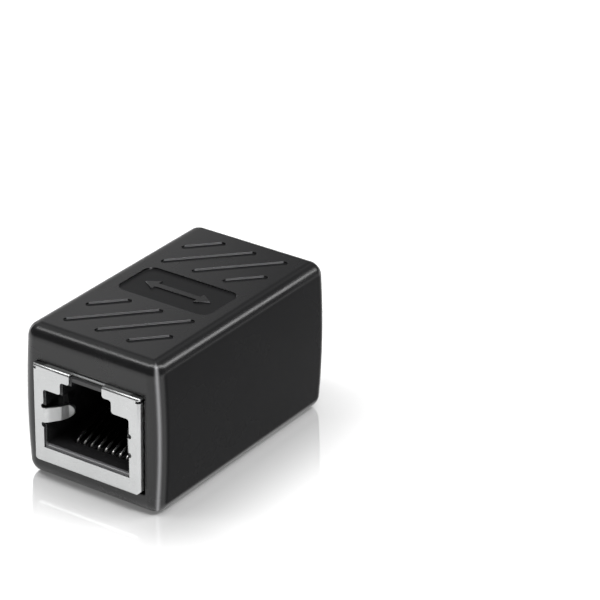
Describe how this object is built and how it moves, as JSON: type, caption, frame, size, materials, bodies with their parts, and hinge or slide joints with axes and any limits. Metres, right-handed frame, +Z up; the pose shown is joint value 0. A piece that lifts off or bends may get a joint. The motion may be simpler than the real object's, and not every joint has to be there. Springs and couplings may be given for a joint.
{
  "type": "rj45 inline coupler",
  "caption": "Small in-line coupler that joins two network patch cables: a moulded sleeve with a shielded modular socket in each end.",
  "frame": {"origin": "middle of the underside, on the surface that the coupler stands on", "axes": "+X across to the right as the front port is looked into from outside, +Y from the front port to the rear port, +Z up, latches upwards"},
  "size_m": [0.02, 0.0354, 0.0195],
  "materials": {
    "housing": "moulded black ABS, satin",
    "shield": "stamped sheet, bright nickel plate",
    "insert": "moulded black thermoplastic, smooth",
    "carrier": "moulded black thermoplastic",
    "contacts": "phosphor bronze strip, thin bright plating",
    "board": "glass-fibre board with green solder mask"
  },
  "bodies": {
    "root": {"housing": "housing", "circuit_board": "board", "shield_front": "shield", "jack_body_front": "insert", "contact_carrier_front": "carrier", "contact_front_1": "contacts", "contact_front_2": "contacts", "contact_front_3": "contacts", "contact_front_4": "contacts", "contact_front_5": "contacts", "contact_front_6": "contacts", "contact_front_7": "contacts", "contact_front_8": "contacts", "shield_rear": "shield", "jack_body_rear": "insert", "contact_carrier_rear": "carrier", "contact_rear_1": "contacts", "contact_rear_2": "contacts", "contact_rear_3": "contacts", "contact_rear_4": "contacts", "contact_rear_5": "contacts", "contact_rear_6": "contacts", "contact_rear_7": "contacts", "contact_rear_8": "contacts"}
  },
  "joints": []
}
